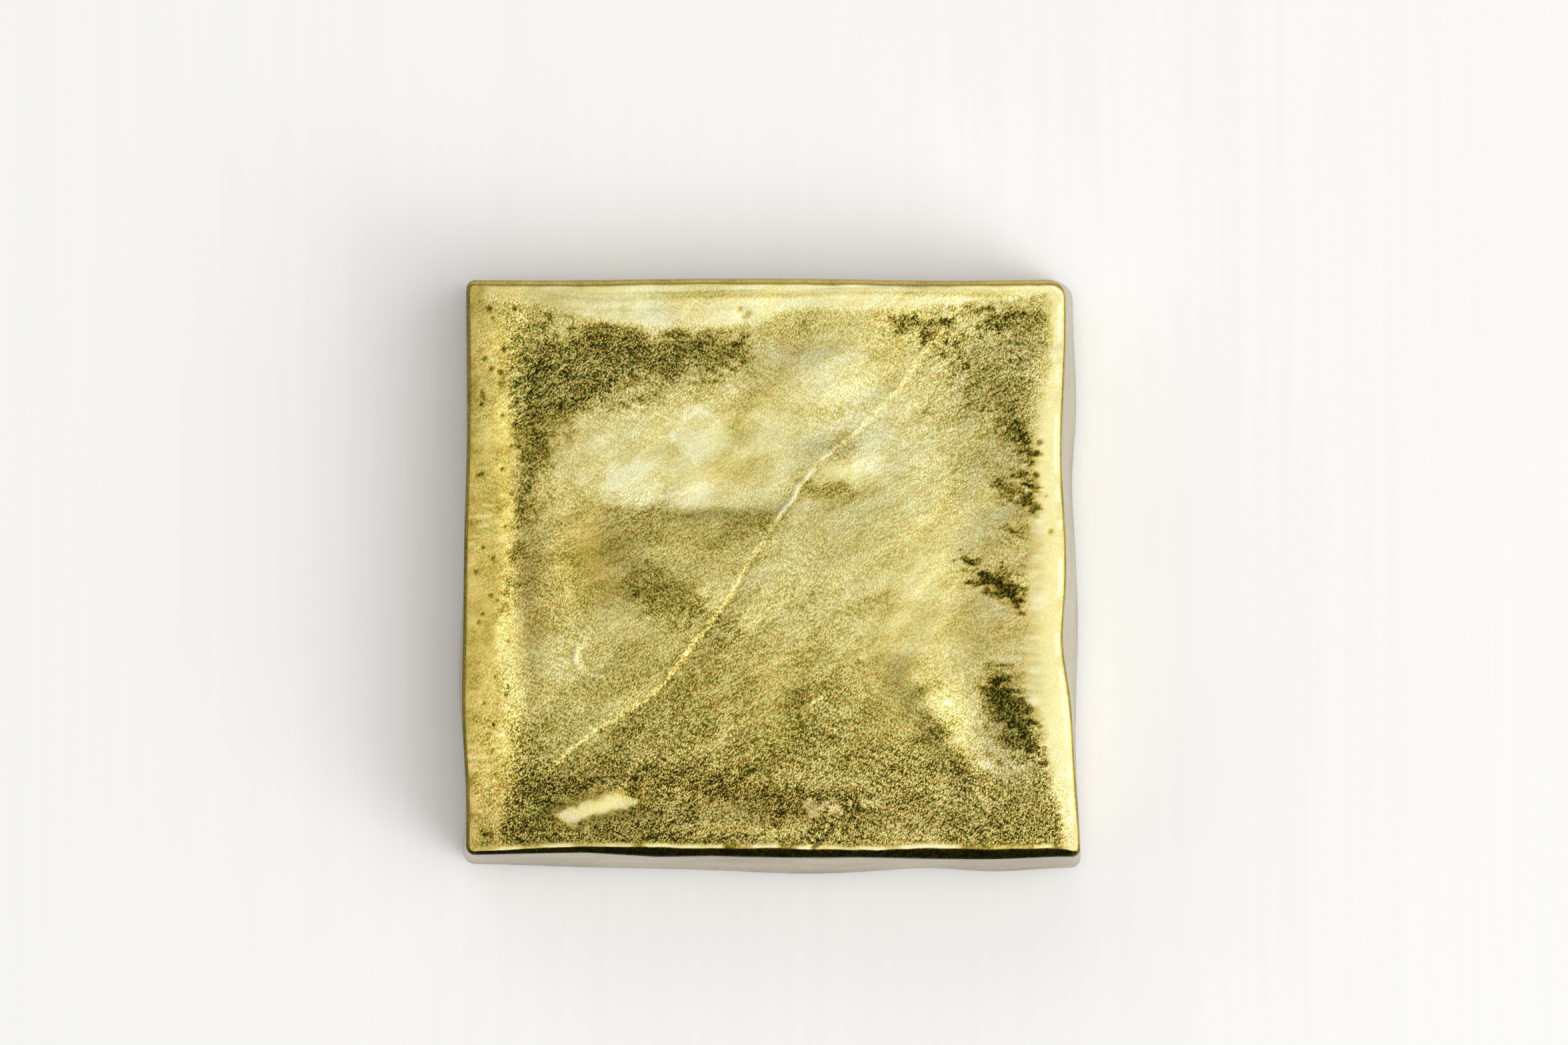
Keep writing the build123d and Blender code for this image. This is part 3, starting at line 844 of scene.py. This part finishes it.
class Nodes:
    """A short way to write a node tree."""

    def __init__(self, tree):
        self.tree = tree
        tree.nodes.clear()

    def add(self, kind, inputs=None, **settings):
        node = self.tree.nodes.new(kind)
        for key, value in settings.items():
            setattr(node, key, value)
        for key, value in (inputs or {}).items():
            if isinstance(value, bpy.types.NodeSocket):
                self.tree.links.new(value, node.inputs[key])
            else:
                node.inputs[key].default_value = value
        return node

    def noise(self, vector, scale, detail=2.0, roughness=0.5):
        """Noise with about `scale` features a metre, or a mapped length when the vector is stretched."""
        inputs = {"Vector": vector, "Scale": scale, "Detail": detail, "Roughness": roughness}
        return self.add("ShaderNodeTexNoise", inputs).outputs[0]

    def stretch(self, vector, size_mm, turn=0.0):
        """Coordinates in which a noise of scale 1 has features of these sizes, turned about the upright."""
        size = tuple(length * MM for length in size_mm)
        inputs = {"Vector": vector, "Scale": size, "Rotation": (0.0, 0.0, math.radians(turn))}
        return self.add("ShaderNodeMapping", inputs, vector_type="TEXTURE").outputs[0]

    def ramp(self, value, low, high, to_low=0.0, to_high=1.0):
        inputs = {"Value": value, "From Min": low, "From Max": high, "To Min": to_low, "To Max": to_high}
        return self.add("ShaderNodeMapRange", inputs).outputs[0]

    def math(self, operation, a, b=0.0):
        return self.add("ShaderNodeMath", {0: a, 1: b}, operation=operation).outputs[0]

    def times(self, a, b):
        return self.math("MULTIPLY", a, b)

    def mix(self, factor, a, b, blend="MIX"):
        node = self.add("ShaderNodeMix", data_type="RGBA", blend_type=blend)
        for socket, value in ((node.inputs[0], factor), (node.inputs[6], a), (node.inputs[7], b)):
            if isinstance(value, bpy.types.NodeSocket):
                self.tree.links.new(value, socket)
            else:
                socket.default_value = (*value, 1.0) if isinstance(value, tuple) else value
        return node.outputs[2]

    def gradient(self, value, stops):
        """A colour ramp from (place, colour) pairs."""
        node = self.add("ShaderNodeValToRGB", {0: value})
        points = node.color_ramp.elements
        while len(points) < len(stops):
            points.new(0.5)
        for point, (place, colour) in zip(points, stops):
            point.position = place
            point.color = (*colour, 1.0)
        return node.outputs[0]

    def value(self, name):
        return self.add("ShaderNodeAttribute", attribute_name=name).outputs["Fac"]

    def bump(self, height, distance, strength=1.0, normal=None):
        inputs = {"Height": height, "Distance": distance, "Strength": strength}
        if normal is not None:
            inputs["Normal"] = normal
        return self.add("ShaderNodeBump", inputs).outputs[0]

    def place(self):
        return self.add("ShaderNodeTexCoord").outputs["Object"]

    def surface(self, inputs):
        shader = self.add("ShaderNodeBsdfPrincipled", inputs)
        self.add("ShaderNodeOutputMaterial", {"Surface": shader.outputs[0]})


def new_material(name):
    material = bpy.data.materials.new(name)
    material.use_nodes = True
    return material, Nodes(material.node_tree)


# Colours by tone, from green-black pits to cream-coloured brass; the upper stops also colour the painted
# highlights
SKIN_COLOURS = (
    (0.00, (0.014, 0.019, 0.007)),
    (0.18, (0.092, 0.080, 0.012)),
    (0.36, (0.275, 0.225, 0.036)),
    (0.54, (0.522, 0.438, 0.116)),
    (0.72, (0.700, 0.612, 0.240)),
    (0.88, (0.805, 0.765, 0.395)),
    (1.00, (0.875, 0.862, 0.560)),
)


def brass_material():
    """Raw sand-cast brass: grain whose pits are dark, copper warmth, patina with painted highlights and
    shade from the tone attribute, and paler walls, partly drag marks and partly a painted reflection of the
    pale floor.
    """
    material, n = new_material("cast_brass")
    place = n.place()
    tone, grain, warmth, wall = (n.value(key) for key in ("tone", "grain", "warmth", "wall"))

    sand = n.noise(n.stretch(place, (0.26, 0.18, 0.22), 55), 1.0, 3.0, 0.70)
    speck_place = n.stretch(place, (0.17, 0.13, 0.15), 40)
    cells = n.add("ShaderNodeTexVoronoi", {"Vector": speck_place, "Scale": 1.0})
    random = n.add("ShaderNodeSeparateColor", {0: cells.outputs["Color"]}).outputs[0]
    specks = n.ramp(random, 0.0, 1.0, 0.3, 0.7)
    rising = n.noise(n.stretch(place, (1.20, 0.34, 0.50), 24), 1.0, 3.0, 0.6)
    falling = n.noise(n.stretch(place, (1.20, 0.34, 0.50), -28), 1.0, 3.0, 0.6)
    fibres = n.mix(n.ramp(n.noise(place, 75, 1.0), 0.44, 0.56), rising, falling)
    skin = n.math("ADD", n.times(sand, 0.50), n.times(fibres, 0.24))
    skin = n.math("ADD", skin, n.times(specks, 0.26))

    grains = n.times(n.ramp(skin, 0.42, 0.57, -1.0, 0.8), n.ramp(grain, 0.0, 1.0, 0.10, 1.0))
    index = n.math("ADD", tone, n.times(grains, n.ramp(tone, 0.2, 1.0, 0.54, 0.24)))
    colour = n.gradient(index, SKIN_COLOURS)
    verdigris = n.noise(n.stretch(place, (0.55, 0.45, 0.50), 10), 1.0, 1.0, 0.5)
    hue = n.mix(n.ramp(verdigris, 0.40, 0.60), (0.84, 1.0, 0.82), (1.0, 0.80, 0.66))
    colour = n.mix(n.ramp(index, 0.3, 0.95, 0.9, 0.0), colour, hue, "MULTIPLY")
    coppery = n.times(warmth, n.ramp(fibres, 0.35, 0.65, 0.25, 0.75))
    colour = n.mix(coppery, colour, (1.0, 0.78, 0.62), "MULTIPLY")

    drag = n.noise(n.stretch(place, (7.0, 7.0, 0.9)), 1.0, 3.0, 0.55)
    # Walls painted paler: partly drag-marked skin, partly a painted reflection of the pale floor seen at a
    # grazing angle
    pale_drag_and_floor_reflection = n.times(wall, n.ramp(drag, 0.3, 0.7, 0.14, 0.34))
    colour = n.mix(pale_drag_and_floor_reflection, colour, (0.62, 0.58, 0.48))

    cloud = n.noise(place, 420, 3.0, 0.55)
    roughness = n.math("ADD", n.ramp(cloud, 0.3, 0.7, 0.15, 0.25), n.ramp(index, 0.1, 0.6, 0.08, 0.0))
    roughness = n.math("ADD", roughness, n.times(wall, n.ramp(drag, 0.3, 0.7, 0.04, 0.12)))

    rough_cast = n.times(n.ramp(grain, 0.0, 1.0, 0.06, 1.0), n.ramp(tone, 0.45, 0.95, 1.0, 0.60))
    normal = n.bump(skin, 0.00015, rough_cast)
    normal = n.bump(drag, 0.00020, n.ramp(wall, 0.0, 1.0, 0.0, 0.26), normal)
    n.surface({
        "Base Color": colour, "Metallic": 1.0, "Roughness": roughness, "Normal": normal,
        "Specular Tint": (0.80, 0.81, 1.0, 1.0)})
    return material


def felt_material():
    """Dense dark green wool felt with matted fibres."""
    material, n = new_material("wool_felt")
    place = n.place()
    mat_a = n.noise(n.stretch(place, (1.2, 0.28, 0.28), 30), 1.0, 3.0, 0.6)
    mat_b = n.noise(n.stretch(place, (0.28, 1.2, 0.28), 22), 1.0, 3.0, 0.6)
    cloud = n.noise(place, 220, 3.0, 0.6)
    colour = n.mix(n.ramp(mat_a, 0.3, 0.7), (0.012, 0.045, 0.024), (0.035, 0.10, 0.058))
    colour = n.mix(n.ramp(cloud, 0.35, 0.7, 0.0, 0.5), colour, (0.02, 0.066, 0.036))
    normal = n.bump(n.math("MAXIMUM", mat_a, mat_b), 0.0003, 0.9)
    n.surface({
        "Base Color": colour, "Roughness": n.ramp(cloud, 0.3, 0.7, 0.85, 0.98), "Sheen Weight": 0.5,
        "Sheen Roughness": 0.5, "Sheen Tint": (0.55, 0.75, 0.62, 1.0), "Normal": normal})
    return material


def film_material():
    """Dried transfer adhesive: amber, slightly glossy, with fine bubbles."""
    material, n = new_material("adhesive_film")
    place = n.place()
    bubbles = n.noise(place, 1800, 2.0)
    cloud = n.noise(place, 300, 2.0)
    colour = n.mix(n.ramp(cloud, 0.3, 0.7), (0.48, 0.40, 0.22), (0.60, 0.52, 0.32))
    n.surface({
        "Base Color": colour, "Roughness": n.ramp(bubbles, 0.3, 0.7, 0.25, 0.5),
        "Normal": n.bump(bubbles, 0.00005, 0.6)})
    return material


def floor_material():
    """White-painted board with the faintest grain."""
    material, n = new_material("pale_board")
    place = n.place()
    grain = n.noise(n.stretch(place, (2.4, 160.0, 100.0)), 1.0, 3.0, 0.6)
    colour = n.mix(n.ramp(grain, 0.3, 0.7), (0.915, 0.915, 0.925), (0.935, 0.935, 0.94))
    n.surface({"Base Color": colour, "Roughness": 0.75})
    return material


# ---- the pieces


def make_block():
    skin = make_skin()
    points, attributes = skin.result()
    block = make_object("brass_block", points, skin.faces, brass_material(), attributes)
    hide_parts("cast_block")
    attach(block, "root")


def make_felt():
    """The felt pad: matted faces and a slightly bulging, uneven cut edge."""
    half = (felt_high[:2] - felt_low[:2]) / 2
    nx, ny = (round(2 * length / FELT_STEP) for length in half)
    outline = rounded_ring(half - FELT_TRIM, FELT_CORNER, (nx, ny, nx, ny))
    normal = outward(outline)
    low, high = felt_low[2], felt_high[2]
    bottom = coons_grid(outline, nx, ny).reshape(-1, 2)
    edge = ring_index(nx, ny)
    nap = 0.05 * layered_noise(bottom[:, 0], bottom[:, 1], 2.4, 201, 3)
    inner = np.ones(len(bottom))
    inner[edge] = 0
    points = [np.column_stack([bottom, low + 0.02 + np.clip(nap, 0, 1) * inner])]
    faces = grid_faces(nx, ny, 0, True)
    total = len(bottom)
    last = edge
    along = np.arange(len(outline)) * FELT_STEP
    for share in (0.06, 0.2, 0.4, 0.6, 0.8, 0.94):
        height = np.full(len(along), low + (high - low) * share)
        bulge = 0.10 * math.sin(math.pi * share) + 0.06 * layered_noise(along, height, 1.3, 211, 2)
        points.append(np.column_stack([outline + normal * bulge[:, None], height]))
        index = np.arange(total, total + len(along))
        faces += [quad[::-1] for quad in band_faces(last, index)]
        last = index
        total += len(along)
    points.append(np.column_stack([bottom, np.full(len(bottom), high)]))
    faces += [quad[::-1] for quad in band_faces(last, edge + total)]
    faces += grid_faces(nx, ny, total)
    felt = make_object("felt", np.concatenate(points), faces, felt_material())
    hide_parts("felt_pad")
    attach(felt, "root")


def dress_film():
    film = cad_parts["adhesive_film"]
    film.data.materials.clear()
    film.data.materials.append(film_material())


# ---- studio


def make_floor():
    mesh = bpy.data.meshes.new("floor")
    shape = bmesh.new()
    bmesh.ops.create_grid(shape, x_segments=24, y_segments=24, size=1.6)
    shape.to_mesh(mesh)
    shape.free()
    mesh.materials.append(floor_material())
    floor = bpy.data.objects.new("floor", mesh)
    bpy.context.scene.collection.objects.link(floor)


def direction(azimuth, polar):
    """Unit vector: azimuth counted from +X towards +Y, polar from straight up, in degrees."""
    a, p = math.radians(azimuth), math.radians(polar)
    return Vector((math.cos(a) * math.sin(p), math.sin(a) * math.sin(p), math.cos(p)))


# Soft panels of light round the object: azimuth, polar, full within, gone beyond, in degrees; brightness.
# Between the ceiling and the low front panel lies a dark gap, which the front edge mirrors.
PANELS = (
    (-37, 24, 5, 46, 1.25),  # ceiling, over the lower right
    (-37, 32, 6, 18, 0.9),  # softbox
    (143, 35, 5, 50, 0.2),  # weak fill opposite
    (0, 52, 18, 42, 1.15),  # window side
    (90, 76, 22, 50, 1.0),  # back wall
    (180, 76, 20, 48, 0.8),  # left wall
    (-90, 90, 14, 24, 0.9),  # low front
    (135, 80, 12, 36, 0.6),  # far corner of the room
)
AMBIENT = 0.05


def make_world():
    """The room as soft panels. The camera itself sees a plain pale backdrop."""
    world = bpy.data.worlds.new("studio")
    world.use_nodes = True
    bpy.context.scene.world = world
    n = Nodes(world.node_tree)
    look = n.add("ShaderNodeTexCoord").outputs["Generated"]
    total = AMBIENT
    for azimuth, polar, inner, outer, brightness in PANELS:
        axis = tuple(direction(azimuth, polar))
        dot = n.add("ShaderNodeVectorMath", {0: look, 1: axis}, operation="DOT_PRODUCT").outputs["Value"]
        gone, full = math.cos(math.radians(outer)), math.cos(math.radians(inner))
        lobe = n.add("ShaderNodeMapRange", {
            "Value": dot, "From Min": gone, "From Max": full, "To Min": 0.0, "To Max": brightness},
            interpolation_type="SMOOTHSTEP").outputs[0]
        total = n.math("ADD", lobe, total)
    room = n.add("ShaderNodeBackground", {"Color": (1.0, 0.99, 0.975, 1.0), "Strength": total})
    backdrop = n.add("ShaderNodeBackground", {"Color": (0.93, 0.93, 0.94, 1.0), "Strength": 1.0})
    seen = n.add("ShaderNodeLightPath").outputs["Is Camera Ray"]
    both = n.add("ShaderNodeMixShader", {0: seen, 1: room.outputs[0], 2: backdrop.outputs[0]})
    n.add("ShaderNodeOutputWorld", {"Surface": both.outputs[0]})


def area_light(name, azimuth, polar, distance, size, radiance):
    """A square lamp aimed at the object, with the brightness of its face given."""
    light = bpy.data.lights.new(name, "AREA")
    light.size = size
    light.energy = radiance * math.pi * size**2
    lamp = bpy.data.objects.new(name, light)
    lamp.location = direction(azimuth, polar) * distance
    lamp.rotation_euler = (-lamp.location).to_track_quat("-Z", "Y").to_euler()
    bpy.context.scene.collection.objects.link(lamp)
    lamp.visible_camera = False


def make_camera():
    """Looking down from a little to the front and right, turned slightly back towards the object."""
    camera_data = bpy.data.cameras.new("camera")
    camera_data.sensor_width = 36.0
    camera_data.lens = 90.0
    camera_data.clip_start = 0.01
    camera = bpy.data.objects.new("camera", camera_data)
    eye = Vector((10.8, -14.5, 443.9))
    backward = Vector((0.0207, -0.0459, 0.9987)).normalized()
    right = Vector((0.99979, 0.0, -0.0207)).normalized()
    up = backward.cross(right)
    turn = Matrix((right, up, backward)).transposed().to_4x4()
    turn.translation = eye * MM
    camera.matrix_world = turn
    bpy.context.scene.collection.objects.link(camera)
    bpy.context.scene.camera = camera


make_camera()
make_block()
make_felt()
dress_film()
make_floor()
make_world()
area_light("key", azimuth=-33, polar=60, distance=1.1, size=0.60, radiance=2.95)
bpy.context.scene.view_settings.view_transform = "Standard"
